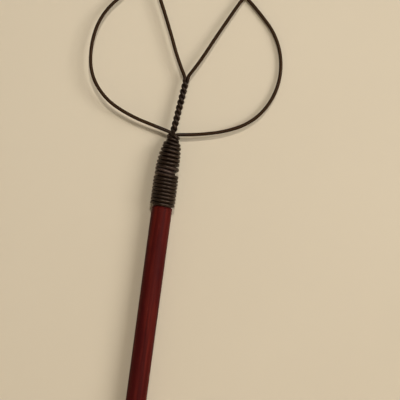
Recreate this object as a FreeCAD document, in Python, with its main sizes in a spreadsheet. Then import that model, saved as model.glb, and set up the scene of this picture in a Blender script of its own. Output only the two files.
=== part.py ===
import FreeCAD, Part
import math
import os
import Sketcher

# Wire rug beater: a turned wooden handle, an outer hoop wire and an inner loop wire.
# The two ends of the inner loop are twisted together into a neck and then wound
# round the handle's nose over the two straight tails of the outer hoop.
#
# Frame: +Z up, +X to the right and -Y towards a person facing the front.
# Every piece is drawn from the shoulder of the handle (height 0 at the foot of the
# windings) and then placed lower by hang_height, so that the origin of the finished
# part is the point inside the top arch that rests on a peg or hook.
# Lengths are millimetres and angles are degrees.

doc = FreeCAD.newDocument("rug_beater")
sheet = doc.addObject("Spreadsheet::Sheet", "Sheet")
sheet.Label = "Dimensions"

DIMS = [
    ("wire_dia", 3.77, "No. 9 gauge steel wire"),
    ("hang_height", 341.2, "inside of the top arch above the shoulder"),
    # handle
    ("dowel_dia", 22.2, "7/8 inch dowel"),
    ("dowel_below", 346.4, "shoulder to the free end"),
    ("end_dome", 5.0, "height of the rounded free end"),
    ("end_round", 2.5, "edge round of the free end"),
    ("shoulder_step", 0.9, "bevel of the shoulder, along the axis"),
    ("nose_dia", 19.6, "nose under the lower winding"),
    ("waist_low", 32.6, "foot of the waist where the wire ends cross"),
    ("waist_high", 42.6, "head of the waist"),
    ("waist_dia", 13.2, "waist"),
    ("cone_dia", 17.4, "foot of the cone under the upper winding"),
    ("nose_tip_dia", 13.8, "nose tip"),
    ("nose_tip", 60.0, "nose tip above the shoulder"),
    ("slot_width", 3.9, "slots for the wire tails"),
    ("slot_foot", 6.0, "foot of the side slots"),
    ("slot_back_foot", 34.0, "foot of the back slot"),
    # straight tails of the hoop
    ("tail_foot", 7.0, "lower end of both tails"),
    ("tail_out", 7.9, "tail centre from the axis, low down"),
    ("tail_mid_height", 30.0, "first bend of the tails"),
    ("tail_mid_out", 5.1, "tail centre at the second bend"),
    ("tail_high_height", 61.0, "second bend of the tails"),
    ("tail_top_left", 75.18, "top of the left tail"),
    ("tail_top_right", 73.24, "top of the right tail"),
    ("bundle_shift", 1.9, "neck bundle centre, to the right of the axis"),
    ("tail_gather", 68.0, "height where the tails lie side by side"),
    # outer hoop: a chain of tangent lines and arcs, left foot to right foot
    ("hoop_lean", 1.41, "hoop plane leans back from the neck"),
    ("hoop_lead_left", 3.5525, "straight start in the neck"),
    ("hoop_lead_right", 3.7679, "straight end in the neck"),
    ("hoop_bend", 3.0, "bend radius at each foot"),
    ("hoop_bend_turn_left", 75.64, ""),
    ("hoop_line_left", 30.6625, ""),
    ("hoop_rad_a", 155.25, ""), ("hoop_turn_a", 12.50, ""),
    ("hoop_rad_b", 66.904, ""), ("hoop_turn_b", 27.31, ""),
    ("hoop_rad_c", 55.920, ""), ("hoop_turn_c", 25.41, ""),
    ("hoop_rad_d", 94.403, ""), ("hoop_turn_d", 22.42, ""),
    ("hoop_rad_e", 72.304, ""), ("hoop_turn_e", 29.70, ""),
    ("hoop_line_top_left", 30.32, ""),
    ("hoop_rad_top", 80.0, ""), ("hoop_turn_top", 89.40, ""),
    ("hoop_line_top_right", 15.32, ""),
    ("hoop_rad_f", 353.96, ""), ("hoop_turn_f", 4.95, ""),
    ("hoop_rad_g", 75.844, ""), ("hoop_turn_g", 39.17, ""),
    ("hoop_rad_i", 75.106, ""), ("hoop_turn_i", 36.32, ""),
    ("hoop_rad_j", 65.566, ""), ("hoop_turn_j", 31.18, ""),
    ("hoop_rad_k", 124.86, ""), ("hoop_turn_k", 13.06, ""),
    ("hoop_rad_l", 266.18, ""), ("hoop_turn_l", 7.17, ""),
    ("hoop_line_right", 4.7979, ""),
    ("hoop_bend_turn_right", 82.95, ""),
    # inner loop: left arm, arch, right arm
    ("loop_foot_x", 5.754, "left arm foot, from the axis"),
    ("loop_foot_height", 139.984, "left arm foot above the shoulder"),
    ("loop_lead_left", 0.60, "straight start along the neck"),
    ("loop_lead_right", 4.07, "straight end along the neck"),
    ("loop_axis_angle", 83.64, "neck direction from horizontal"),
    ("loop_bend", 5.0, "bend radius at the foot of each arm"),
    ("loop_bend_turn_left", 36.26, ""),
    ("loop_line_left", 1.063, ""),
    ("loop_rad_a", 275.59, ""), ("loop_turn_a", 7.05, ""),
    ("loop_rad_b", 1068.67, ""), ("loop_turn_b", 2.70, ""),
    ("loop_line_top_left", 55.60, ""),
    ("loop_rad_left", 48.0, ""), ("loop_turn_left", 85.0, ""),
    ("loop_rad_top", 72.0, ""), ("loop_turn_top", 90.54, ""),
    ("loop_rad_right", 60.0, ""), ("loop_turn_right", 58.0, ""),
    ("loop_line_top_right", 19.50, ""),
    ("loop_rad_c", 1457.8, ""), ("loop_turn_c", 2.46, ""),
    ("loop_rad_d", 356.63, ""), ("loop_turn_d", 5.57, ""),
    ("loop_bend_turn_right", 24.74, ""),
    # twisted neck
    ("twist_pitch", 11.85, "length of one twist"),
    ("twist_turns", 4.75, "turns of each strand"),
    ("twist_gap", 0.04, "gap between the strands"),
    ("twist_foot_x", 1.14, "neck axis foot, to the right"),
    ("twist_foot", 82.75, "neck axis foot above the shoulder"),
    ("twist_tilt", 6.36, "neck leans right from the handle"),
    ("twist_phase", -90.0, "direction of the front strand at the foot"),
    # collar that binds the neck: both strands go round it once, side by side
    ("collar_radius", 5.98, "wire centre from the collar axis"),
    ("collar_back", 1.09, "collar axis behind the handle axis"),
    ("collar_pitch", 7.80, "drop of each strand in a turn"),
    ("collar_turns", 1.0, "turns of each strand"),
    ("collar_foot", 70.0, "lowest wire centre above the shoulder"),
    # conical upper winding
    ("upper_pitch", 4.10, ""),
    ("upper_turns", 6.75, ""),
    ("upper_radius", 11.02, "wire centre at the foot"),
    ("upper_cone", 5.75, "half angle of the cone"),
    ("upper_foot", 40.0, "lowest wire centre above the shoulder"),
    # one steep half turn between the windings, and the wire end that crosses under it
    ("cross_drop", 6.88, "how far the wire drops in half a turn"),
    ("cross_radius", 11.72, "wire centre at the lower end"),
    ("cross_foot", 33.12, "lower wire centre above the shoulder"),
    ("under_radius", 8.55, "wire centre of the crossing end"),
    ("under_drop", 4.55, "drop of the crossing end in a half turn"),
    ("under_foot", 38.3, "lower wire centre of the crossing end"),
    # cylindrical lower winding
    ("lower_pitch", 3.90, ""),
    ("lower_turns", 8.0, ""),
    ("lower_radius", 11.72, "wire centre from the axis"),
    ("lower_foot", 1.92, "lowest wire centre above the shoulder"),
    # strand that runs down behind the tails, from under the collar
    ("leg_back", 3.60, "strand centre behind the axis, at its upper end"),
    ("leg_shift", 1.60, "strand centre to the right, at its upper end"),
    ("leg_top", 67.0, "upper end of the strand"),
    ("leg_out", 6.05, "strand centre at its foot"),
    ("leg_foot", 43.6, "foot of the strand"),
    ("leg_mid_out", 4.95, "strand centre where it meets the nose"),
    ("leg_mid", 62.0, "height where it meets the nose"),
]
for i, (alias, value, note) in enumerate(DIMS, start=1):
    sheet.set("A%d" % i, alias)
    sheet.set("B%d" % i, repr(value))
    sheet.set("C%d" % i, note)
    sheet.setAlias("B%d" % i, alias)
doc.recompute()
V = {alias: float(getattr(sheet, alias)) for alias, _, _ in DIMS}


def ref(alias):
    return "<<Dimensions>>." + alias


def origin_plane(body, role):
    for feature in body.Origin.OriginFeatures:
        if feature.Role == role:
            return feature
    raise ValueError(role)


def new_body(name):
    body = doc.addObject("PartDesign::Body", name)
    body.Label = name
    return body


def new_sketch(body, name, role):
    sketch = body.newObject("Sketcher::SketchObject", name)
    sketch.AttachmentSupport = [(origin_plane(body, role), "")]
    sketch.MapMode = "FlatFace"
    return sketch


def bind(sketch, index, expression):
    sketch.setExpression("Constraints[%d]" % index, expression)


def path(body, name, start, angle, segments):
    """A chain of tangent lines and arcs in the XZ plane. Each segment is
    ("L", length) or ("A", radius, turn, +1 left or -1 right), by alias. The first is a line."""
    sketch = new_sketch(body, name, "XZ_Plane")
    p = FreeCAD.Vector(V[start[0]], V[start[1]], 0)
    a = math.radians(angle if isinstance(angle, (int, float)) else V[angle])
    last = None
    for n, segment in enumerate(segments):
        d = FreeCAD.Vector(math.cos(a), math.sin(a), 0)
        side = FreeCAD.Vector(-d.y, d.x, 0)
        if segment[0] == "L":
            q = p + d * V[segment[1]]
            g = sketch.addGeometry(Part.LineSegment(p, q), False)
            begin, end = 1, 2
        else:
            r, t, s = V[segment[1]], math.radians(V[segment[2]]), segment[3]
            c = p + side * (r * s)
            b = a + s * t
            q = c - FreeCAD.Vector(-math.sin(b), math.cos(b), 0) * (r * s)
            t0 = math.atan2(p.y - c.y, p.x - c.x)
            t1 = math.atan2(q.y - c.y, q.x - c.x)
            if s < 0:
                t0, t1 = t1, t0
            while t1 <= t0:
                t1 += 2 * math.pi
            circle = Part.Circle(c, FreeCAD.Vector(0, 0, 1), r)
            g = sketch.addGeometry(Part.ArcOfCircle(circle, t0, t1), False)
            begin, end = (1, 2) if s > 0 else (2, 1)
            a = b
        if last is None:
            k = sketch.addConstraint(Sketcher.Constraint("DistanceX", -1, 1, g, begin, p.x))
            bind(sketch, k, ref(start[0]))
            k = sketch.addConstraint(Sketcher.Constraint("DistanceY", -1, 1, g, begin, p.y))
            bind(sketch, k, ref(start[1]))
            if isinstance(angle, (int, float)):
                sketch.addConstraint(Sketcher.Constraint("Vertical", g))
            else:
                k = sketch.addConstraint(Sketcher.Constraint("Angle", g, a))
                bind(sketch, k, ref(angle))
        else:
            sketch.addConstraint(Sketcher.Constraint("Tangent", last[0], last[1], g, begin))
        if segment[0] == "L":
            k = sketch.addConstraint(Sketcher.Constraint("Distance", g, V[segment[1]]))
            bind(sketch, k, ref(segment[1]))
        else:
            k = sketch.addConstraint(Sketcher.Constraint("Radius", g, V[segment[1]]))
            bind(sketch, k, ref(segment[1]))
            k = sketch.addConstraint(Sketcher.Constraint("Angle", g, math.radians(V[segment[2]])))
            bind(sketch, k, ref(segment[2]))
        last = (g, end)
        p = q
    return sketch


def wire_along(body, sketch, edges):
    """The round wire swept along a path sketch."""
    doc.recompute()
    ring = body.newObject("Sketcher::SketchObject", body.Name + "_section")
    ring.AttachmentSupport = [(sketch, "Edge1")]
    ring.MapMode = "NormalToEdge"
    ring.addGeometry(
        Part.Circle(FreeCAD.Vector(0, 0, 0), FreeCAD.Vector(0, 0, 1), V["wire_dia"] / 2), False
    )
    ring.addConstraint(Sketcher.Constraint("Coincident", 0, 3, -1, 1))
    k = ring.addConstraint(Sketcher.Constraint("Radius", 0, V["wire_dia"] / 2))
    bind(ring, k, ref("wire_dia") + " / 2")
    doc.recompute()
    pipe = body.newObject("PartDesign::AdditivePipe", body.Name + "_wire")
    pipe.Profile = ring
    pipe.Spine = (sketch, ["Edge%d" % (i + 1) for i in range(edges)])
    body.Tip = pipe
    sketch.Visibility = False
    return pipe


def winding(name, radius, foot, pitch, turns, cone=None):
    """Left-handed close winding that climbs from its foot."""
    body = new_body(name)
    ring = new_sketch(body, name + "_section", "XZ_Plane")
    at = FreeCAD.Vector(V[radius], V[foot], 0)
    ring.addGeometry(Part.Circle(at, FreeCAD.Vector(0, 0, 1), V["wire_dia"] / 2), False)
    k = ring.addConstraint(Sketcher.Constraint("Radius", 0, V["wire_dia"] / 2))
    bind(ring, k, ref("wire_dia") + " / 2")
    k = ring.addConstraint(Sketcher.Constraint("DistanceX", -1, 1, 0, 3, V[radius]))
    bind(ring, k, ref(radius))
    k = ring.addConstraint(Sketcher.Constraint("DistanceY", -1, 1, 0, 3, V[foot]))
    bind(ring, k, ref(foot))
    doc.recompute()
    coil = body.newObject("PartDesign::AdditiveHelix", name + "_wire")
    coil.Profile = ring
    coil.ReferenceAxis = (ring, ["V_Axis"])
    coil.Mode = "pitch-turns-angle"
    coil.LeftHanded = True
    coil.Reversed = False
    coil.setExpression("Pitch", pitch if " " in pitch else ref(pitch))
    coil.setExpression("Turns", turns if turns[0].isdigit() else ref(turns))
    if cone:
        coil.setExpression("Angle", "-1 * " + ref(cone))
    body.Tip = coil
    return body


def place(obj, x="0", y="0", z=None, axis=None, angle=None):
    """Placement bound to the sheet: the drop from the peg to the shoulder is on every piece."""
    if axis is not None:
        value = V[angle] if isinstance(angle, str) else angle
        obj.Placement = FreeCAD.Placement(
            FreeCAD.Vector(0, 0, 0), FreeCAD.Rotation(FreeCAD.Vector(*axis), value)
        )
    obj.setExpression("Placement.Base.x", x)
    obj.setExpression("Placement.Base.y", y)
    obj.setExpression("Placement.Base.z", z or "-1 * " + ref("hang_height"))


nodes = []

# --- handle: turned dowel with a rounded free end and a slotted nose ---------------
handle = new_body("handle")
profile = new_sketch(handle, "handle_profile", "XZ_Plane")
R = V["dowel_dia"] / 2
dome = V["end_dome"]
dome_r = (R * R + dome * dome) / (2 * dome)
foot = -V["dowel_below"]
points = [
    (0, foot), (R, foot + dome), (R, -V["shoulder_step"]), (V["nose_dia"] / 2 + 0.35, 0),
    (V["nose_dia"] / 2, 0), (V["nose_dia"] / 2, V["waist_low"]), (V["waist_dia"] / 2, V["waist_low"] + 1.2),
    (V["waist_dia"] / 2, V["waist_high"] - 0.8), (V["cone_dia"] / 2, V["waist_high"]),
    (V["nose_tip_dia"] / 2, V["nose_tip"]), (0, V["nose_tip"]),
]
pts = [FreeCAD.Vector(x, y, 0) for x, y in points]
centre = FreeCAD.Vector(0, foot + dome_r, 0)
t1 = math.atan2(pts[1].y - centre.y, pts[1].x - centre.x)
profile.addGeometry(
    Part.ArcOfCircle(Part.Circle(centre, FreeCAD.Vector(0, 0, 1), dome_r), -math.pi / 2, t1), False
)
for a, b in zip(pts[1:], pts[2:] + [pts[0]]):
    profile.addGeometry(Part.LineSegment(a, b), False)
count = len(pts)
for i in range(count):
    j = (i + 1) % count
    profile.addConstraint(Sketcher.Constraint("Coincident", i, 2, j, 1))
heights = [
    "-1 * " + ref("dowel_below"), "-1 * " + ref("dowel_below") + " + " + ref("end_dome"),
    "-1 * " + ref("shoulder_step"), None, None, ref("waist_low"),
    ref("waist_low") + " + 1.2", ref("waist_high") + " - 0.8", ref("waist_high"),
    ref("nose_tip"), ref("nose_tip"),
]
half = [
    None, ref("dowel_dia") + " / 2", ref("dowel_dia") + " / 2", ref("nose_dia") + " / 2 + 0.35",
    ref("nose_dia") + " / 2", ref("nose_dia") + " / 2", ref("waist_dia") + " / 2",
    ref("waist_dia") + " / 2", ref("cone_dia") + " / 2", ref("nose_tip_dia") + " / 2", None,
]
for i in range(count):
    if half[i]:
        k = profile.addConstraint(Sketcher.Constraint("DistanceX", -1, 1, i, 1, pts[i].x))
        bind(profile, k, half[i])
    else:
        profile.addConstraint(Sketcher.Constraint("PointOnObject", i, 1, -2))
    if heights[i]:
        k = profile.addConstraint(Sketcher.Constraint("DistanceY", -1, 1, i, 1, pts[i].y))
        bind(profile, k, heights[i])
    else:
        profile.addConstraint(Sketcher.Constraint("PointOnObject", i, 1, -1))
k = profile.addConstraint(Sketcher.Constraint("Radius", 0, dome_r))
bind(profile, k, "(({0} / 2) ^ 2 + {1} ^ 2) / (2 * {1})".format(ref("dowel_dia"), ref("end_dome")))
doc.recompute()
turned = handle.newObject("PartDesign::Revolution", "handle_turned")
turned.Profile = profile
turned.ReferenceAxis = (profile, ["V_Axis"])
turned.Angle = 360
doc.recompute()
solid_volume = turned.Shape.Volume


def slot(name, role, points):
    sketch = new_sketch(handle, name, role)
    n = len(points)
    for i in range(n):
        a, b = points[i], points[(i + 1) % n]
        sketch.addGeometry(
            Part.LineSegment(FreeCAD.Vector(a[0], a[1], 0), FreeCAD.Vector(b[0], b[1], 0)), False
        )
        sketch.addConstraint(Sketcher.Constraint("Block", i))
    doc.recompute()
    cut = handle.newObject("PartDesign::Pocket", name + "_cut")
    cut.Profile = sketch
    cut.Type = 0
    cut.Midplane = True
    cut.setExpression("Length", ref("slot_width"))
    doc.recompute()
    return cut


low = V["tail_out"] - V["slot_width"] / 2
high = V["tail_mid_out"] - V["slot_width"] / 2
outline = [
    (low, V["slot_foot"]), (13, V["slot_foot"]), (13, V["nose_tip"] + 3), (high, V["nose_tip"] + 3),
    (high, V["tail_high_height"]), (low, V["tail_mid_height"]),
]
first = slot("slot_right", "XZ_Plane", outline)
second = slot("slot_left", "XZ_Plane", [(-x, z) for x, z in outline])
back_low = V["leg_out"] - V["slot_width"] / 2
back_high = V["leg_mid_out"] - V["slot_width"] / 2
third = slot(
    "slot_back", "YZ_Plane",
    [(back_low, V["waist_high"] - 0.8), (13, V["waist_high"] - 0.8), (13, V["nose_tip"] + 3),
     (back_high, V["nose_tip"] + 3), (back_high, V["leg_mid"])],
)
print("slots cut", round(solid_volume - third.Shape.Volume, 1), "mm3")
rim = [
    "Edge%d" % (i + 1) for i, e in enumerate(third.Shape.Edges)
    if abs(e.BoundBox.ZMax - (foot + dome)) < 1e-3 and abs(e.BoundBox.ZMin - (foot + dome)) < 1e-3
]
rounded = handle.newObject("PartDesign::Fillet", "handle_end_round")
rounded.Base = (third, rim)
rounded.setExpression("Radius", ref("end_round"))
handle.Tip = rounded
place(handle)
nodes.append(handle)

# --- outer hoop ---------------------------------------------------------------------
outer_hoop = new_body("outer_hoop")
HOOP = [("L", "hoop_lead_left"), ("A", "hoop_bend", "hoop_bend_turn_left", 1), ("L", "hoop_line_left")]
HOOP += [("A", "hoop_rad_" + k, "hoop_turn_" + k, -1) for k in "abcde"]
HOOP += [("L", "hoop_line_top_left"), ("A", "hoop_rad_top", "hoop_turn_top", -1), ("L", "hoop_line_top_right")]
HOOP += [("A", "hoop_rad_" + k, "hoop_turn_" + k, -1) for k in "fgijkl"]
HOOP += [("L", "hoop_line_right"), ("A", "hoop_bend", "hoop_bend_turn_right", 1), ("L", "hoop_lead_right")]
sheet.set("A%d" % (len(DIMS) + 1), "hoop_start_x")
sheet.set("B%d" % (len(DIMS) + 1), "0")
sheet.setAlias("B%d" % (len(DIMS) + 1), "hoop_start_x")
doc.recompute()
V["hoop_start_x"] = 0.0
# the hoop is drawn from the top of the left tail and leans back about that level
hoop_path = path(outer_hoop, "hoop_path", ("hoop_start_x", "hoop_start_x"), 90, HOOP)
wire_along(outer_hoop, hoop_path, len(HOOP))
place(outer_hoop, z=ref("tail_top_left") + " - " + ref("hang_height"), axis=(-1, 0, 0), angle="hoop_lean")
outer_hoop.setExpression("Placement.Rotation.Angle", ref("hoop_lean"))
nodes.append(outer_hoop)

# --- inner loop ---------------------------------------------------------------------
inner_loop = new_body("inner_loop")
LOOP = [
    ("L", "loop_lead_left"), ("A", "loop_bend", "loop_bend_turn_left", 1), ("L", "loop_line_left"),
    ("A", "loop_rad_a", "loop_turn_a", -1), ("A", "loop_rad_b", "loop_turn_b", 1),
    ("L", "loop_line_top_left"), ("A", "loop_rad_left", "loop_turn_left", -1),
    ("A", "loop_rad_top", "loop_turn_top", -1), ("A", "loop_rad_right", "loop_turn_right", -1),
    ("L", "loop_line_top_right"), ("A", "loop_rad_c", "loop_turn_c", 1),
    ("A", "loop_rad_d", "loop_turn_d", -1), ("A", "loop_bend", "loop_bend_turn_right", 1),
    ("L", "loop_lead_right"),
]
loop_path = path(inner_loop, "loop_path", ("loop_foot_x", "loop_foot_height"), "loop_axis_angle", LOOP)
wire_along(inner_loop, loop_path, len(LOOP))
place(inner_loop)
nodes.append(inner_loop)


# --- twisted neck: two strands laid left-handed round each other --------------------------
def strand(name, phase):
    helix = doc.addObject("Part::Helix", name + "_path")
    helix.LocalCoord = "Left-handed"
    helix.setExpression("Pitch", ref("twist_pitch"))
    helix.setExpression("Height", ref("twist_pitch") + " * " + ref("twist_turns"))
    helix.setExpression("Radius", "(" + ref("wire_dia") + " + " + ref("twist_gap") + ") / 2")
    helix.SegmentLength = 1
    circle = doc.addObject("Part::Circle", name + "_section")
    circle.setExpression("Radius", ref("wire_dia") + " / 2")
    circle.Placement = FreeCAD.Placement(
        FreeCAD.Vector(1, 0, 0), FreeCAD.Rotation(FreeCAD.Vector(1, 0, 0), 40)
    )
    circle.setExpression("Placement.Base.x", "(" + ref("wire_dia") + " + " + ref("twist_gap") + ") / 2")
    circle.setExpression(
        "Placement.Rotation.Angle",
        "atan(pi * (%s + %s) / %s)" % (ref("wire_dia"), ref("twist_gap"), ref("twist_pitch")),
    )
    sweep = doc.addObject("Part::Sweep", name)
    sweep.Label = name
    sweep.Sections = [circle]
    sweep.Spine = (helix, [])
    sweep.Solid = True
    sweep.Frenet = True
    # turned about its own axis to its phase, then leaned to the right with the neck
    lean = FreeCAD.Rotation(FreeCAD.Vector(0, 1, 0), V["twist_tilt"])
    spin = FreeCAD.Rotation(FreeCAD.Vector(0, 0, 1), phase)
    sweep.Placement = FreeCAD.Placement(FreeCAD.Vector(0, 0, 0), lean.multiply(spin))
    sweep.setExpression("Placement.Base.x", ref("twist_foot_x"))
    sweep.setExpression("Placement.Base.z", ref("twist_foot") + " - " + ref("hang_height"))
    return sweep


nodes.append(strand("neck_strand_front", V["twist_phase"]))
nodes.append(strand("neck_strand_back", V["twist_phase"] + 180))

# --- windings -----------------------------------------------------------------------
collar = winding("neck_collar", "collar_radius", "collar_foot", "collar_pitch", "collar_turns")
place(collar, x=ref("bundle_shift"), y=ref("collar_back"), axis=(0, 0, 1), angle=-90)
nodes.append(collar)

# the back strand's turn lies half a turn round from the front strand's
second_collar = winding("neck_collar_second", "collar_radius", "collar_foot", "collar_pitch", "collar_turns")
place(second_collar, x=ref("bundle_shift"), y=ref("collar_back"), axis=(0, 0, 1), angle=90)
nodes.append(second_collar)

upper = winding("upper_winding", "upper_radius", "upper_foot", "upper_pitch", "upper_turns", "upper_cone")
place(upper, axis=(0, 0, 1), angle=180)
nodes.append(upper)

cross = winding(
    "crossover_turn", "cross_radius", "cross_foot", "2 * " + ref("cross_drop"), "0.488", "upper_cone"
)
place(cross)
nodes.append(cross)

under = winding("crossing_end", "under_radius", "under_foot", "2 * " + ref("under_drop"), "0.22")
place(under, axis=(0, 0, 1), angle=-30)
nodes.append(under)

lower = winding("lower_winding", "lower_radius", "lower_foot", "lower_pitch", "lower_turns")
place(lower)
nodes.append(lower)


# --- straight tails of the hoop and the strand behind them ------------------------------
def rod(name, corners, rotation=None):
    """Wire along straight runs joined by tangent arcs, in the plane of its corners."""
    made = []
    at = [FreeCAD.Vector(*c) for c in corners]
    bend = 2.2 * V["wire_dia"]
    begin = at[0]
    for i in range(1, len(at) - 1):
        u = (at[i - 1] - at[i]).normalize()
        w = (at[i + 1] - at[i]).normalize()
        gap = bend / math.tan(u.getAngle(w) / 2)
        a, b = at[i] + u * gap, at[i] + w * gap
        bisector = (u + w).normalize()
        c = at[i] + bisector * (bend / math.sin(u.getAngle(w) / 2))
        m = c - bisector * bend
        made.append(Part.LineSegment(begin, a).toShape())
        made.append(Part.Arc(a, m, b).toShape())
        begin = b
    made.append(Part.LineSegment(begin, at[-1]).toShape())
    route = Part.Wire(made)
    section = Part.Wire([
        Part.Circle(at[0], at[1] - at[0], V["wire_dia"] / 2).toShape()
    ])
    shape = route.makePipeShell([section], True, True)
    print(name, "volume", round(shape.Volume, 1), "of", round(math.pi * V["wire_dia"] ** 2 / 4 * route.Length, 1))
    feature = doc.addObject("Part::Feature", name)
    feature.Label = name
    feature.Shape = shape
    place(feature)
    return feature


nodes.append(rod("hoop_tail_left", [
    (-V["tail_out"], 0, V["tail_foot"]), (-V["tail_out"], 0, V["tail_mid_height"]),
    (-V["tail_mid_out"], 0, V["tail_high_height"]),
    (V["bundle_shift"] - V["wire_dia"] / 2 - 0.015, 0, V["tail_gather"]),
    (V["bundle_shift"] - V["wire_dia"] / 2 - 0.015, 0, V["tail_top_left"]),
]))
nodes.append(rod("hoop_tail_right", [
    (V["tail_out"], 0, V["tail_foot"]), (V["tail_out"], 0, V["tail_mid_height"]),
    (V["tail_mid_out"], 0, V["tail_high_height"]),
    (V["bundle_shift"] + V["wire_dia"] / 2 + 0.015, 0, V["tail_gather"]),
    (V["bundle_shift"] + V["wire_dia"] / 2 + 0.015, 0, V["tail_top_right"]),
]))
nodes.append(rod("neck_leg", [
    (0, V["leg_out"], V["leg_foot"]), (0, V["leg_mid_out"], V["leg_mid"]),
    (V["leg_shift"], V["leg_back"], V["leg_top"]),
]))

# --- check and write ------------------------------------------------------------------
doc.recompute()
for obj in doc.Objects:
    if "Invalid" in obj.State or "Error" in obj.State:
        raise RuntimeError("%s: %s" % (obj.Name, obj.State))
os.makedirs("parts", exist_ok=True)
for node in nodes:
    shape = node.Shape
    if shape.isNull() or not shape.isValid() or len(shape.Solids) != 1:
        raise RuntimeError("%s: null %s, solids %d" % (node.Label, shape.isNull(), len(shape.Solids)))
for node in nodes:
    box = node.Shape.optimalBoundingBox(False)
    print("%-18s volume %9.1f  x %7.1f %7.1f  y %6.1f %6.1f  z %7.1f %7.1f" % (
        node.Label, node.Shape.Volume, box.XMin, box.XMax, box.YMin, box.YMax, box.ZMin, box.ZMax))
    node.Shape.exportStep("parts/%s.step" % node.Label)
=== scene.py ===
import math

import bpy
import numpy as np
from mathutils import Matrix, Vector


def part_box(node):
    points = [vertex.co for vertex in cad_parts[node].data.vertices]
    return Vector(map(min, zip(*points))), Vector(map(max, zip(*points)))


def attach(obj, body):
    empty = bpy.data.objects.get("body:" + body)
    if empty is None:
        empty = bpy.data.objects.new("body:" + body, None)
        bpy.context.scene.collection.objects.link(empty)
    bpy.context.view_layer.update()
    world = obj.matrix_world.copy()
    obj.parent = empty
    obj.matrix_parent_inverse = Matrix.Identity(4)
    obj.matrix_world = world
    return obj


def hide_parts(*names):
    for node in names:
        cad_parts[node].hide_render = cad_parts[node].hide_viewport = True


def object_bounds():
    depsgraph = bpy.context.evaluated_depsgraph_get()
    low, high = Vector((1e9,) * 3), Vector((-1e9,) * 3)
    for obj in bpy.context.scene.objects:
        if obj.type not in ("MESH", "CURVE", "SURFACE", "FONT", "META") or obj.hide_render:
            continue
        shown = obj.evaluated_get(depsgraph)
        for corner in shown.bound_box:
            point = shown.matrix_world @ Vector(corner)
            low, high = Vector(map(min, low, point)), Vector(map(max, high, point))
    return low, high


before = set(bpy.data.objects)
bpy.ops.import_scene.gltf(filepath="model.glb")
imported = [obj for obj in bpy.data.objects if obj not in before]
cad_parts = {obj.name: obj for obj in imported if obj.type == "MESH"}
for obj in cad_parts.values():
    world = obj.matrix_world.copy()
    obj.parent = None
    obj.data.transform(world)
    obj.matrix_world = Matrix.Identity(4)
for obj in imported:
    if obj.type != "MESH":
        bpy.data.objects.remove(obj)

cad_box = [list(c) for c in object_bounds()]
MM = 0.001
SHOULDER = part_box("handle")[0][2] / MM + 346.4   # height of the shoulder in the frame, mm
WIRE = 3.77 / 2
rng = np.random.default_rng(7)


# ---------------------------------------------------------------- paths, in mm above the shoulder
def chain(start, heading, parts, step=0.9):
    """Tangent lines and arcs in a plane: L length, or A radius and turn in degrees, left positive."""
    p = np.array(start, float)
    h = math.radians(heading)
    pts = [p.copy()]
    for kind, a, *b in parts:
        if kind == "L":
            n = max(1, round(a / step))
            for i in range(1, n + 1):
                pts.append(p + np.array([math.cos(h), math.sin(h)]) * a * i / n)
            p = pts[-1].copy()
        else:
            turn = math.radians(b[0])
            n = max(2, round(a * abs(turn) / min(step, 0.12 * a)))
            side = 1 if turn > 0 else -1
            c = p + side * a * np.array([-math.sin(h), math.cos(h)])
            for i in range(1, n + 1):
                g = h + turn * i / n
                pts.append(c - side * a * np.array([-math.sin(g), math.cos(g)]))
            p, h = pts[-1].copy(), h + turn
    return np.array(pts)


def monotone(x, y):
    """A smooth curve through the points that never overshoots them."""
    x, y = np.array(x, float), np.array(y, float)
    d = np.diff(y) / np.diff(x)
    m = np.empty(len(x))
    m[0], m[-1] = d[0], d[-1]
    for i in range(1, len(x) - 1):
        m[i] = 0 if d[i - 1] * d[i] <= 0 else 2 * d[i - 1] * d[i] / (d[i - 1] + d[i])

    def f(t):
        t = np.clip(np.asarray(t, float), x[0], x[-1])
        i = np.clip(np.searchsorted(x, t, side="right") - 1, 0, len(x) - 2)
        h = x[i + 1] - x[i]
        u = (t - x[i]) / h
        return (y[i] * (1 + 2 * u) * (1 - u) ** 2 + h * m[i] * u * (1 - u) ** 2
                + y[i + 1] * u * u * (3 - 2 * u) - h * m[i + 1] * u * u * (1 - u))
    return f


def through(points, step=0.4):
    """A smooth curve through points in space, centripetal."""
    p = [np.array(q, float) for q in points]
    p = [2 * p[0] - p[1]] + p + [2 * p[-1] - p[-2]]
    out = []
    for i in range(1, len(p) - 2):
        a, b, c, d = p[i - 1:i + 3]
        t = [0.0]
        for u, v in ((a, b), (b, c), (c, d)):
            t.append(t[-1] + math.sqrt(max(np.linalg.norm(v - u), 1e-6)))
        n = max(2, round(np.linalg.norm(c - b) / step))
        for k in range(n):
            s = t[1] + (t[2] - t[1]) * k / n
            a1 = (t[1] - s) / (t[1] - t[0]) * a + (s - t[0]) / (t[1] - t[0]) * b
            a2 = (t[2] - s) / (t[2] - t[1]) * b + (s - t[1]) / (t[2] - t[1]) * c
            a3 = (t[3] - s) / (t[3] - t[2]) * c + (s - t[2]) / (t[3] - t[2]) * d
            b1 = (t[2] - s) / (t[2] - t[0]) * a1 + (s - t[0]) / (t[2] - t[0]) * a2
            b2 = (t[3] - s) / (t[3] - t[1]) * a2 + (s - t[1]) / (t[3] - t[1]) * a3
            out.append((t[2] - s) / (t[2] - t[1]) * b1 + (s - t[1]) / (t[2] - t[1]) * b2)
    out.append(p[-2])
    return np.array(out)


def spaced(pts, step):
    """The same line with even steps."""
    seg = np.linalg.norm(np.diff(pts, axis=0), axis=1)
    keep = np.concatenate([[True], seg > 1e-6])
    pts = pts[keep]
    seg = np.linalg.norm(np.diff(pts, axis=0), axis=1)
    s = np.concatenate([[0], np.cumsum(seg)])
    n = max(2, round(s[-1] / step))
    u = np.linspace(0, s[-1], n + 1)
    return np.stack([np.interp(u, s, pts[:, k]) for k in range(3)], 1)


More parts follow.
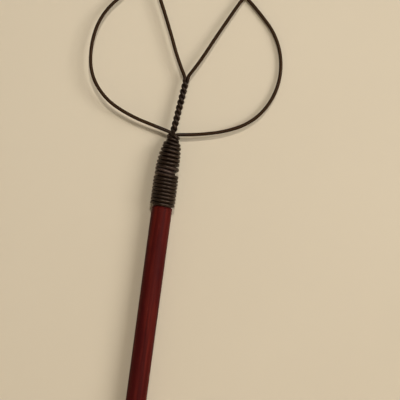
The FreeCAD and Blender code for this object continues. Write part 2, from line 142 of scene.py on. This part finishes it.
def eased(pts, rounds):
    """Takes the small corners out of a line of evenly spaced points, ends kept."""
    p = pts.copy()
    for _ in range(rounds):
        q = p.copy()
        q[1:-1] = 0.25 * p[:-2] + 0.5 * p[1:-1] + 0.25 * p[2:]
        p = q
    return p


# ---------------------------------------------------------------- wires as tube meshes
def tube(name, pts, radius=WIRE, sides=20, cap_start=False, cap_end=False, cut_burr=0.0):
    """A round wire along pts, closed at both ends. A real wire end gets a small chamfer."""
    p = np.array(pts, float)
    t = np.gradient(p, axis=0)
    t /= np.linalg.norm(t, axis=1)[:, None]
    ref = np.array([0.0, 1.0, 0.0]) if abs(t[0][1]) < 0.9 else np.array([1.0, 0, 0])
    u = ref - t[0] * ref.dot(t[0])
    u /= np.linalg.norm(u)
    rings, frames = [], []
    for i in range(len(p)):
        u = u - t[i] * u.dot(t[i])
        u /= np.linalg.norm(u)
        frames.append((u.copy(), np.cross(t[i], u)))
    ang = np.arange(sides) * 2 * math.pi / sides
    rad = np.full(len(p), radius)
    verts, faces = [], []

    def ring(c, f, r, shift=0.0, tt=None):
        c = c + (tt * shift if tt is not None else 0)
        base = len(verts)
        for a in ang:
            verts.append(c + r * (math.cos(a) * f[0] + math.sin(a) * f[1]))
        return base

    order = []
    if cap_start:
        order.append(ring(p[0], frames[0], radius * 0.62))
        order.append(ring(p[0], frames[0], radius * 0.86, 0.16, t[0]))
        order.append(ring(p[0], frames[0], radius, 0.42, t[0]))
        first = 1
        while np.linalg.norm(p[first] - p[0]) < 0.55:
            first += 1
    else:
        first = 0
    last = len(p) - 1
    if cap_end:
        while np.linalg.norm(p[last] - p[-1]) < 0.55:
            last -= 1
    for i in range(first, last + 1):
        order.append(ring(p[i], frames[i], rad[i]))
    if cap_end:
        order.append(ring(p[-1], frames[-1], radius, -0.42, t[-1]))
        order.append(ring(p[-1], frames[-1], radius * 0.86, -0.16, t[-1]))
        order.append(ring(p[-1], frames[-1], radius * 0.62))
    for a, b in zip(order[:-1], order[1:]):
        for k in range(sides):
            j = (k + 1) % sides
            faces.append((a + k, a + j, b + j, b + k))
    verts.append(p[0]); faces += [(len(verts) - 1, order[0] + (k + 1) % sides, order[0] + k) for k in range(sides)]
    verts.append(p[-1]); faces += [(len(verts) - 1, order[-1] + k, order[-1] + (k + 1) % sides) for k in range(sides)]
    v = np.array(verts)
    v[:, 2] += SHOULDER
    mesh = bpy.data.meshes.new(name)
    mesh.from_pydata((v * MM).tolist(), [], faces)
    mesh.validate()
    for poly in mesh.polygons:
        poly.use_smooth = True
    # distance along the wire; nothing uses it
    s = np.concatenate([[0], np.cumsum(np.linalg.norm(np.diff(p, axis=0), axis=1))])
    ob = bpy.data.objects.new(name, mesh)
    bpy.context.scene.collection.objects.link(ob)
    return ob


def make(name, pts, node, **kw):
    ob = tube(name, pts, **kw)
    ob.data.materials.append(MAT_LOOPS if node in ("outer_hoop", "inner_loop") else MAT_WIRE)
    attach(ob, "root")
    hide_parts(node)
    return ob


# ---------------------------------------------------------------- materials
class Nodes:
    def __init__(self, name):
        self.mat = bpy.data.materials.new(name)
        self.mat.use_nodes = True
        self.t = self.mat.node_tree
        self.t.nodes.clear()
        self.out = self.t.nodes.new("ShaderNodeOutputMaterial")
        self.x = 0

    def add(self, kind, **props):
        n = self.t.nodes.new(kind)
        n.location = (self.x, 0); self.x += 180
        for k, v in props.items():
            setattr(n, k, v)
        return n

    def link(self, a, b):
        self.t.links.new(a, b)

    def noise(self, co, scale, detail=4, rough=0.55, distortion=0.0):
        n = self.add("ShaderNodeTexNoise")
        n.inputs["Scale"].default_value = scale
        n.inputs["Detail"].default_value = detail
        n.inputs["Roughness"].default_value = rough
        n.inputs["Distortion"].default_value = distortion
        self.link(co, n.inputs["Vector"])
        return n.outputs["Fac"]

    def stretch(self, co, scale, rot=(0, 0, 0)):
        m = self.add("ShaderNodeMapping")
        m.inputs["Scale"].default_value = scale
        m.inputs["Rotation"].default_value = rot
        self.link(co, m.inputs["Vector"])
        return m.outputs["Vector"]

    def ramp(self, fac, stops, mode="LINEAR"):
        r = self.add("ShaderNodeValToRGB")
        r.color_ramp.interpolation = mode
        e = r.color_ramp.elements
        while len(e) < len(stops):
            e.new(0.5)
        for el, (pos, col) in zip(e, stops):
            el.position = pos
            el.color = (*col, 1) if len(col) == 3 else col
        self.link(fac, r.inputs["Fac"])
        return r.outputs["Color"]

    def mix(self, fac, a, b, blend="MIX"):
        m = self.add("ShaderNodeMix", data_type="RGBA", blend_type=blend)
        ins = m.inputs
        if isinstance(fac, (int, float)):
            ins[0].default_value = fac
        else:
            self.link(fac, ins[0])
        for i, c in ((6, a), (7, b)):
            if isinstance(c, tuple):
                ins[i].default_value = (*c, 1)
            else:
                self.link(c, ins[i])
        return m.outputs[2]

    def math(self, op, a, b=None, clamp=False):
        m = self.add("ShaderNodeMath", operation=op, use_clamp=clamp)
        for i, v in ((0, a), (1, b)):
            if v is None:
                continue
            if isinstance(v, (int, float)):
                m.inputs[i].default_value = v
            else:
                self.link(v, m.inputs[i])
        return m.outputs[0]

    def remap(self, v, lo, hi, a, b):
        m = self.add("ShaderNodeMapRange")
        for k, val in (("From Min", lo), ("From Max", hi), ("To Min", a), ("To Max", b)):
            m.inputs[k].default_value = val
        self.link(v, m.inputs["Value"])
        return m.outputs["Result"]

    def bump(self, height, strength, distance, normal=None):
        b = self.add("ShaderNodeBump")
        b.inputs["Strength"].default_value = strength
        b.inputs["Distance"].default_value = distance
        self.link(height, b.inputs["Height"])
        if normal is not None:
            self.link(normal, b.inputs["Normal"])
        return b.outputs["Normal"]


def wire_material(name, specular):
    """Drawn steel wire, darkened by old oxide and handling: blotches, fine pits, a little brown rust."""
    m = Nodes(name)
    co = m.add("ShaderNodeTexCoord").outputs["Object"]
    big = m.noise(co, 55, 4, 0.6)
    mid = m.noise(co, 420, 5, 0.65, 0.4)
    fine = m.noise(co, 2600, 4, 0.7)
    base = m.ramp(mid, [(0.30, (0.0060, 0.0028, 0.0017)), (0.52, (0.0125, 0.0064, 0.0040)), (0.72, (0.034, 0.0215, 0.0195))])
    base = m.mix(m.remap(big, 0.42, 0.62, 0.0, 0.7), base, (0.022, 0.0110, 0.0058))
    rust = m.math("MULTIPLY", m.remap(m.noise(co, 160, 6, 0.7, 0.8), 0.60, 0.70, 0, 1), m.remap(fine, 0.4, 0.6, 0.2, 1))
    base = m.mix(m.math("MULTIPLY", rust, 0.55), base, (0.085, 0.036, 0.014))
    # the loops are browner and duller than the windings and the neck, which hands have rubbed
    sep = m.add("ShaderNodeSeparateXYZ")
    m.link(co, sep.inputs[0])
    away = m.math("POWER", m.math("ADD", m.math("MULTIPLY", sep.outputs[0], sep.outputs[0]), m.math("MULTIPLY", sep.outputs[1], sep.outputs[1])), 0.5)
    loops = m.math("MAXIMUM", m.remap(away, 0.013, 0.022, 0.0, 1.0), m.remap(sep.outputs[2], (SHOULDER + 136) * MM, (SHOULDER + 146) * MM, 0.0, 1.0))
    base = m.mix(m.math("MULTIPLY", loops, 0.65), base, (0.0240, 0.0100, 0.0040))
    # painted highlight: the front of the waist, where the crossing strands stand proud, is coloured paler to stand in
    # for the bright highlight there
    level = m.math("ABSOLUTE", m.math("SUBTRACT", sep.outputs[2], (SHOULDER + 39.6) * MM))
    front = m.remap(sep.outputs[1], -0.0085, -0.0060, 1.0, 0.0)
    waist_front_highlight = m.math("MULTIPLY", m.math("MULTIPLY", m.remap(level, 0.0028, 0.0046, 1.0, 0.0), front), m.remap(fine, 0.35, 0.6, 0.5, 1.0))
    base = m.mix(m.math("MULTIPLY", waist_front_highlight, 0.75), base, (0.078, 0.052, 0.046))
    p = m.add("ShaderNodeBsdfPrincipled")
    m.link(base, p.inputs["Base Color"])
    p.inputs["Metallic"].default_value = 0.35
    p.inputs["Specular IOR Level"].default_value = specular
    m.link(m.mix(loops, (1.0, 0.85, 0.74), (1.0, 0.72, 0.46)), p.inputs["Specular Tint"])
    rough = m.math("ADD", m.remap(mid, 0.3, 0.7, 0.26, 0.48), m.math("MULTIPLY", rust, 0.25), clamp=True)
    rough = m.math("ADD", rough, m.math("MULTIPLY", loops, 0.08), clamp=True)
    m.link(rough, p.inputs["Roughness"])
    h = m.math("ADD", m.math("MULTIPLY", mid, 0.6), m.math("MULTIPLY", fine, 0.4))
    m.link(m.bump(h, 0.35, 0.00012), p.inputs["Normal"])
    m.link(p.outputs[0], m.out.inputs["Surface"])
    return m.mat


def handle_material():
    """Old dark red paint on a straight-grained dowel: grain shows through, worn streaks, scuffs, a bare nose kept dark
    as painted shade between the turns.
    """
    m = Nodes("worn_red_paint")
    co = m.add("ShaderNodeTexCoord").outputs["Object"]
    sep = m.add("ShaderNodeSeparateXYZ")
    m.link(co, sep.inputs[0])
    z = sep.outputs[2]
    grain = m.noise(m.stretch(co, (1, 1, 0.022)), 900, 5, 0.6, 0.15)
    streak = m.noise(m.stretch(co, (1, 1, 0.045)), 260, 4, 0.55, 0.3)
    broad = m.noise(m.stretch(co, (1, 1, 0.20)), 75, 3, 0.5)
    fine = m.noise(co, 2200, 4, 0.65)
    paint = m.ramp(streak, [(0.28, (0.044, 0.0040, 0.0036)), (0.50, (0.080, 0.0070, 0.0052)), (0.72, (0.130, 0.0145, 0.0090))])
    paint = m.mix(m.remap(broad, 0.40, 0.66, 0.0, 0.75), paint, (0.052, 0.0050, 0.0060))
    paint = m.mix(m.remap(grain, 0.56, 0.68, 0.0, 0.55), paint, (0.028, 0.0032, 0.0034))
    # scuffs: pale rubbed patches, short along the grain
    scuff = m.noise(m.stretch(co, (1, 1, 0.30)), 330, 5, 0.7, 0.5)
    rub = m.remap(scuff, 0.63, 0.74, 0.0, 0.35)
    paint = m.mix(rub, paint, (0.19, 0.050, 0.042))
    # bare wood where the paint stops, under and just above the winding's foot, coloured darker than the wood as painted
    # shade in the gaps between the turns
    shaded_bare_wood = m.ramp(m.noise(m.stretch(co, (1, 1, 0.05)), 700, 4, 0.6), [(0.35, (0.030, 0.015, 0.011)), (0.65, (0.085, 0.045, 0.034))])
    edge = m.math("ADD", z, m.math("MULTIPLY", m.math("SUBTRACT", m.noise(co, 320, 3, 0.6), 0.5), 0.004))
    foot = (SHOULDER + 4.0) * MM
    above = m.remap(edge, foot - 0.0006, foot + 0.0006, 0.0, 1.0)
    colour = m.mix(above, paint, shaded_bare_wood)
    p = m.add("ShaderNodeBsdfPrincipled")
    m.link(colour, p.inputs["Base Color"])
    rough = m.math("ADD", m.remap(streak, 0.3, 0.7, 0.42, 0.56), m.math("MULTIPLY", rub, 0.5), clamp=True)
    rough = m.math("ADD", rough, m.math("MULTIPLY", above, 0.25), clamp=True)
    m.link(rough, p.inputs["Roughness"])
    p.inputs["Specular IOR Level"].default_value = 0.05
    h = m.math("ADD", m.math("MULTIPLY", grain, 0.7), m.math("MULTIPLY", fine, 0.3))
    m.link(m.bump(h, 0.28, 0.00016), p.inputs["Normal"])
    m.link(p.outputs[0], m.out.inputs["Surface"])
    return m.mat


def wall_material():
    """Plain cream backdrop. It shows from the front only, so that the back of the beater can be seen too."""
    m = Nodes("cream_backdrop")
    co = m.add("ShaderNodeTexCoord").outputs["Object"]
    tone = m.ramp(m.noise(co, 3.0, 2, 0.5), [(0.3, (0.675, 0.612, 0.500)), (0.7, (0.695, 0.632, 0.518))])
    p = m.add("ShaderNodeBsdfPrincipled")
    m.link(tone, p.inputs["Base Color"])
    p.inputs["Roughness"].default_value = 0.75
    p.inputs["Specular IOR Level"].default_value = 0.2
    m.link(m.bump(m.noise(co, 160, 4, 0.6), 0.10, 0.0004), p.inputs["Normal"])
    clear = m.add("ShaderNodeBsdfTransparent")
    geo = m.add("ShaderNodeNewGeometry")
    mix = m.add("ShaderNodeMixShader")
    m.link(geo.outputs["Backfacing"], mix.inputs[0])
    m.link(p.outputs[0], mix.inputs[1])
    m.link(clear.outputs[0], mix.inputs[2])
    m.link(mix.outputs[0], m.out.inputs["Surface"])
    return m.mat


def floor_material():
    m = Nodes("pale_floor")
    co = m.add("ShaderNodeTexCoord").outputs["Object"]
    tone = m.ramp(m.noise(co, 6.0, 3, 0.5), [(0.3, (0.62, 0.54, 0.42)), (0.7, (0.68, 0.60, 0.48))])
    p = m.add("ShaderNodeBsdfPrincipled")
    m.link(tone, p.inputs["Base Color"])
    p.inputs["Roughness"].default_value = 0.7
    m.link(p.outputs[0], m.out.inputs["Surface"])
    return m.mat


MAT_WIRE = wire_material("dark_wire_aged", 0.48)
MAT_LOOPS = wire_material("dark_wire_aged_loops", 0.26)
MAT_HANDLE = handle_material()

# ---------------------------------------------------------------- outer hoop and its tails
hoop = chain((0, 75.18), 90, [
    ("L", 3.5525), ("A", 3, 75.64), ("L", 30.6625), ("A", 155.25, -12.50), ("A", 66.904, -27.31), ("A", 55.920, -25.41),
    ("A", 94.403, -22.42), ("A", 72.304, -29.70), ("L", 30.32), ("A", 80, -89.40), ("L", 15.32), ("A", 353.96, -4.95),
    ("A", 75.844, -39.17), ("A", 75.106, -36.32), ("A", 65.566, -31.18), ("A", 124.86, -13.06), ("A", 266.18, -7.17),
    ("L", 4.7979), ("A", 3, 82.95), ("L", 3.7679)])
lean = math.radians(1.41)
hoop3 = np.stack([hoop[:, 0], (hoop[:, 1] - 75.18) * math.sin(lean), 75.18 + (hoop[:, 1] - 75.18) * math.cos(lean)], 1)
left_tail = through([(-7.9, 0, 7.0), (-7.9, 0, 18), (-7.9, 0, 30), (-6.5, 0, 45), (-5.1, 0, 59.5), (-4.2, 0, 63), (-0.9, 0, 66.8), (0, 0, 69), (0, 0, 72), (0, 0, 75.18)], 0.7)
right_tail = through([(7.9, 0, 7.0), (7.9, 0, 18), (7.9, 0, 30), (6.6, 0, 45), (5.3, 0, 59.5), (4.9, 0, 63), (3.95, 0, 67), (3.8, 0, 69), (3.8, 0, 71), (3.8, 0, 73.24)], 0.7)
hoop_line = np.concatenate([left_tail[:-1], hoop3, right_tail[::-1][1:]])
n_left, n_hoop = len(left_tail) - 1, len(hoop3)
# hand bending: the free hoop waves a little out of its plane
zz = hoop_line[:, 2]
free = np.clip((zz - 95) / 40, 0, 1) * np.clip((215 - zz) / 25, 0, 1)
arc = np.concatenate([[0], np.cumsum(np.linalg.norm(np.diff(hoop_line, axis=0), axis=1))])
hoop_line[:, 1] += free * (0.45 * np.sin(arc / 41.0) + 0.25 * np.sin(arc / 17.0 + 1.3))


def cut(line, a, b, lead=0):
    return line[a:b + 1]


seg_left = eased(spaced(hoop_line[:n_left + 1], 0.8), 2)
seg_hoop = eased(spaced(hoop_line[n_left:n_left + n_hoop], 0.9), 3)
seg_right = eased(spaced(hoop_line[n_left + n_hoop - 1:], 0.8), 2)
make("outer_hoop_wire", seg_hoop, "outer_hoop")
make("hoop_tail_left_wire", seg_left, "hoop_tail_left", cap_start=True)
make("hoop_tail_right_wire", seg_right, "hoop_tail_right", cap_end=True)

# ---------------------------------------------------------------- inner loop, twisted neck
loop = chain((5.754, 139.984), 83.64, [
    ("L", 0.60), ("A", 5, 36.26), ("L", 1.063), ("A", 275.59, -7.05), ("A", 1068.67, 2.70), ("L", 55.60), ("A", 48, -85.0),
    ("A", 72, -90.54), ("A", 60, -58.0), ("L", 19.50), ("A", 1457.8, 2.46), ("A", 356.63, -5.57), ("A", 5, 24.74), ("L", 4.07)])
loop3 = np.stack([loop[:, 0], np.zeros(len(loop)), loop[:, 1]], 1)
free = np.clip((loop3[:, 2] - 150) / 30, 0, 1) * np.clip((225 - loop3[:, 2]) / 20, 0, 1)
arc = np.concatenate([[0], np.cumsum(np.linalg.norm(np.diff(loop3, axis=0), axis=1))])
loop3[:, 1] += free * 0.35 * np.sin(arc / 29.0 + 0.6)

tilt = math.radians(6.36)
foot = np.array([1.14, 0, 82.75])
axis = np.array([math.sin(tilt), 0, math.cos(tilt)])
right = np.array([math.cos(tilt), 0, -math.sin(tilt)])
back = np.array([0, 1.0, 0])


def twist(start_deg, length=56.29, pitch=11.85, r=1.905):
    s = np.arange(0, length + 1e-9, 0.35)
    b = math.radians(start_deg) - 2 * math.pi * s / pitch
    return foot + np.outer(s, axis) + r * (np.outer(np.cos(b), right) + np.outer(np.sin(b), back))


front_strand, back_strand = twist(-90), twist(90)

# ---------------------------------------------------------------- the winding: t counts turns down from the nub, on the right
height = monotone(
    [0, 0.25, 0.5, 0.6, 0.75, 1, 1.25, 1.5, 1.75, 2, 2.25, 2.5, 2.75, 3, 3.5, 3.75, 4, 4.5, 4.75, 5, 5.5, 5.75, 6, 6.5, 6.75, 7, 7.5, 8, 8.5, 9, 16],
    [75.7, 74.3, 72.6, 71.2, 69.9, 68.3, 67.2, 66.4, 65.9, 64.4, 63.4, 62.6, 61.7, 59.8, 58.1, 57.1, 55.6, 53.5, 52.5, 51.2, 49.1, 48.1, 47.1, 45.1, 43.9, 41.7, 36.6, 33.5, 31.5, 29.6, 2.3])
radius = monotone(
    [0, 0.3, 0.55, 0.8, 1.0, 1.5, 2, 2.5, 3, 3.5, 4, 5, 6, 7, 7.5, 8, 8.4, 16],
    [5.30, 5.15, 5.20, 6.40, 7.80, 8.00, 8.90, 9.20, 9.65, 9.90, 10.15, 10.45, 10.75, 11.00, 11.25, 11.55, 11.70, 11.70])
shift_x = monotone([0, 0.6, 1.0, 1.5, 2.0, 2.5, 3, 3.6, 4.8, 6.5, 16], [1.9, 1.9, 1.50, 1.35, 1.20, 1.10, 0.85, 0.65, 0.35, 0.10, 0.0])
shift_y = monotone([0, 0.6, 1.3, 16], [1.09, 1.09, 0.0, 0.0])
t = np.arange(0, 16 + 1e-9, 0.45 / (2 * math.pi * 11.7))
r = radius(t) + 0.07 * np.sin(t * 4.1) * (t < 7.6) * (t > 0.8)
h = height(t)
h = h + 0.10 * np.sin(2 * math.pi * t + 0.9) * np.clip((t - 8) / 1.0, 0, 1) * np.sin(t * 1.7)
wind = np.stack([shift_x(t) + r * np.cos(2 * math.pi * t), shift_y(t) + r * np.sin(2 * math.pi * t), h], 1)

# the second end goes round the collar between the turns of the first, and dives inside between the tails
a2 = np.linspace(180, 560, 110)
h2 = monotone([180, 225, 270, 315, 360, 450, 540, 560], [76.6, 75.5, 74.3, 73.2, 72.1, 70.7, 69.3, 68.8])(a2)
r2 = monotone([180, 400, 450, 540, 560], [5.15, 5.15, 5.9, 8.1, 7.9])(a2)
wind2 = np.stack([1.9 + r2 * np.cos(np.radians(a2)), 1.09 + r2 * np.sin(np.radians(a2)), h2], 1)

sweep = through([front_strand[2], front_strand[0], (1.8, -2.95, 80.7), (2.9, -4.0, 78.9), (4.4, -4.5, 77.4), (6.0, -3.7, 76.4), (7.0, -1.6, 76.0), wind[0], wind[6]], 0.35)
sweep2 = through([back_strand[2], back_strand[0], (-0.3, 3.5, 80.9), (-2.0, 4.0, 79.2), (-3.2, 2.8, 77.8), wind2[0], wind2[3]], 0.35)
dive = through([wind2[-3], wind2[-1], (-4.6, -3.2, 67.9), (-2.3, -3.4, 66.4), (-0.5, -2.4, 64.7), (0.5, -0.3, 63.5), (1.3, 2.9, 62.7), (1.8, 5.0, 60.4), (1.9, 5.3, 57.0)], 0.5)
leg = through([dive[-3], dive[-1], (1.9, 5.6, 52.0), (1.9, 6.0, 46.0), (1.3, 7.0, 43.7)], 0.5)
a3 = np.array([105, 140, 180, 220, 260, 300, 333], float)
ac = np.linspace(105, 333, 120)
rc = monotone(a3, [9.3, 10.5, 11.1, 10.3, 9.2, 8.85, 8.75])(ac)
hc = monotone(a3, [42.5, 42.0, 41.4, 40.6, 39.5, 38.2, 37.0])(ac)
cross = np.stack([rc * np.cos(np.radians(ac)), rc * np.sin(np.radians(ac)), hc], 1)
out = through([leg[-4], leg[-1], (0.2, 8.4, 42.9), cross[0], cross[3]], 0.4)

line = np.concatenate([wind[::-1][:-6], sweep[::-1][:-2], front_strand[2:], loop3[::-1], back_strand[::-1][:-2], sweep2[:-3], wind2[3:-2], dive[:-2], leg[3:-3], out[3:-3], cross[3:]])
line = spaced(line, 0.42)
line = eased(line, 5)


def nearest(p, lo=0.0, hi=1.0):
    a, b = int(lo * len(line)), int(hi * len(line))
    return a + int(np.argmin(np.linalg.norm(line[a:b] - np.array(p), axis=1)))


i_low = nearest(wind[int(len(wind) * 8.0 / 16)], 0, 0.6)
i_cross = nearest(wind[int(len(wind) * 7.0 / 16)], 0, 0.6)
i_upper = nearest(wind[int(len(wind) * 0.75 / 16)], 0, 0.6)
i_collar = nearest(front_strand[0], 0, 0.7)
i_front = nearest(loop3[-1], 0, 0.8)
i_loop = nearest(loop3[0], 0.5, 1.0)
i_back = nearest(back_strand[0], 0.6, 1.0)
i_leg = nearest(wind2[-1], 0.6, 1.0)
make("lower_winding_wire", line[:i_low + 1], "lower_winding", cap_start=True)
make("crossover_turn_wire", line[i_low:i_cross + 1], "crossover_turn")
make("upper_winding_wire", line[i_cross:i_upper + 1], "upper_winding")
make("neck_collar_wire", line[i_upper:i_collar + 1], "neck_collar")
make("neck_strand_front_wire", line[i_collar:i_front + 1], "neck_strand_front")
make("inner_loop_wire", line[i_front:i_loop + 1], "inner_loop")
make("neck_strand_back_wire", line[i_loop:i_back + 1], "neck_strand_back")
make("neck_collar_second_wire", line[i_back:i_leg + 1], "neck_collar_second")
i_out = len(line) - 1 - int(np.argmin(np.linalg.norm(line[::-1][:400] - np.array(leg[-1]), axis=1)))
make("neck_leg_wire", line[i_leg:i_out + 1], "neck_leg")
make("crossing_end_wire", line[i_out:], "crossing_end", cap_end=True)

# ---------------------------------------------------------------- handle
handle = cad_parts["handle"]
if handle.material_slots:
    for s in handle.material_slots:
        s.material = MAT_HANDLE
else:
    handle.data.materials.append(MAT_HANDLE)

# ---------------------------------------------------------------- stage: backdrop close behind, floor, lights, camera
C, S_ = 0.99103, 0.13364
right_v, up_v, near_v = Vector((C, 0, S_)), Vector((-S_, 0, C)), Vector((0, -1, 0))
centre = Vector((39.6 * MM, 0, (13.25 + SHOULDER) * MM))


def plane(name, origin, u, v, su, sv, mat):
    pts = [origin + u * a * su + v * b * sv for a, b in ((-1, -1), (1, -1), (1, 1), (-1, 1))]
    mesh = bpy.data.meshes.new(name)
    mesh.from_pydata([tuple(p) for p in pts], [], [(0, 1, 2, 3)])
    ob = bpy.data.objects.new(name, mesh)
    bpy.context.scene.collection.objects.link(ob)
    ob.data.materials.append(mat)
    return ob


wall_y = cad_box[1][1] + 0.0004
floor_z = cad_box[0][2] - 0.06
yaw, pitch = math.radians(2.6), math.radians(0.8)   # the head hangs nearer the wall than the handle, its right side most of all
wall_up = Vector((0, -math.sin(pitch), math.cos(pitch)))
wall_foot = Vector((0, wall_y, (SHOULDER + 20) * MM)) + wall_up * ((floor_z - (SHOULDER + 20) * MM) / wall_up.z)
plane("backdrop", wall_foot + wall_up * 3.0, Vector((math.cos(yaw), -math.sin(yaw), 0)), wall_up, 4.0, 3.0, wall_material())
plane("floor", Vector((0, 0, floor_z)), Vector((1, 0, 0)), Vector((0, 1, 0)), 5.0, 5.0, floor_material())


def area(name, direction, distance, size, power, colour, size_y=None, spread=180):
    light = bpy.data.lights.new(name, "AREA")
    light.shape = "RECTANGLE" if size_y else "DISK"
    light.size = size
    if size_y:
        light.size_y = size_y
    light.energy = power
    light.spread = math.radians(spread)
    light.color = colour
    ob = bpy.data.objects.new(name, light)
    d = direction.normalized()
    ob.location = centre + d * distance
    ob.rotation_mode = "QUATERNION"
    ob.rotation_quaternion = (-d).to_track_quat("-Z", "Y")
    bpy.context.scene.collection.objects.link(ob)
    return ob


a24, a36 = math.radians(24), math.radians(42)
area("overhead", near_v * math.cos(a24) + up_v * math.sin(a24) + right_v * 0.04, 2.4, 0.18, 19.8, (1.0, 0.93, 0.82))
area("from_right", near_v * math.cos(a36) + right_v * math.sin(a36) + up_v * 0.12, 3.6, 2.1, 15.5, (1.0, 0.95, 0.88), 1.2, 80)

world = bpy.data.worlds.new("soft_room")
world.use_nodes = True
bg = world.node_tree.nodes["Background"]
bg.inputs[0].default_value = (0.80, 0.72, 0.60, 1)
bg.inputs[1].default_value = 0.16
bpy.context.scene.world = world

cam_data = bpy.data.cameras.new("camera")
cam = bpy.data.objects.new("camera", cam_data)
bpy.context.scene.collection.objects.link(cam)
distance = 1.8
cam_data.sensor_width = 36
cam_data.lens = 36 * distance / 0.432
cam_data.clip_start, cam_data.clip_end = 0.05, 50
cam.location = centre + near_v * distance
rot = Matrix((right_v, up_v, near_v)).transposed()
cam.rotation_mode = "QUATERNION"
cam.rotation_quaternion = rot.to_quaternion()
bpy.context.scene.camera = cam
bpy.context.scene.view_settings.view_transform = "Standard"
